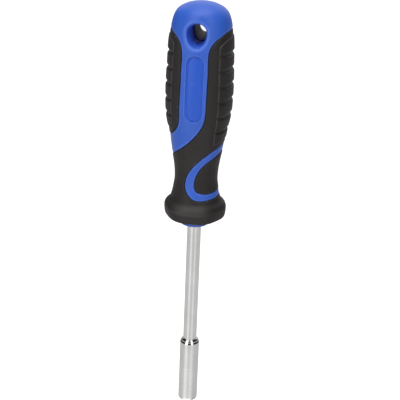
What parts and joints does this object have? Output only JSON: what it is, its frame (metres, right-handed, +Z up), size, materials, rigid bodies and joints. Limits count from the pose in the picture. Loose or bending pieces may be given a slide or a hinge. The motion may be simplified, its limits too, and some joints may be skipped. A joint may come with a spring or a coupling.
{
  "type": "bit holder screwdriver",
  "caption": "Hand screwdriver with a fixed magnetic hex bit socket on a round steel blade and a two-colour overmoulded handle with ribbed soft grips, a flared guard and a hang hole.",
  "frame": {"origin": "on the table under the middle of the tool, which lies on its back", "axes": "+X along the tool towards the socket mouth, +Z up out of the front strip, +Y towards the side with the loop band"},
  "size_m": [0.2188, 0.0334, 0.031],
  "materials": {
    "hard_plastic_blue": "satin moulded hard plastic",
    "soft_grip_black": "matt soft moulded elastomer",
    "blade_steel": "satin chrome plate",
    "socket_steel": "satin chrome plate",
    "magnet_metal": "plain plated magnet",
    "spring_steel": "plain spring wire"
  },
  "bodies": {
    "root": {"handle_core": "hard_plastic_blue", "grip_sleeve": "soft_grip_black", "grip_panel_left": "soft_grip_black", "grip_inset": "soft_grip_black", "hang_hole_liner": "soft_grip_black", "blade_shaft": "blade_steel", "bit_socket": "socket_steel", "magnet": "magnet_metal", "retaining_ring": "spring_steel"}
  },
  "joints": []
}
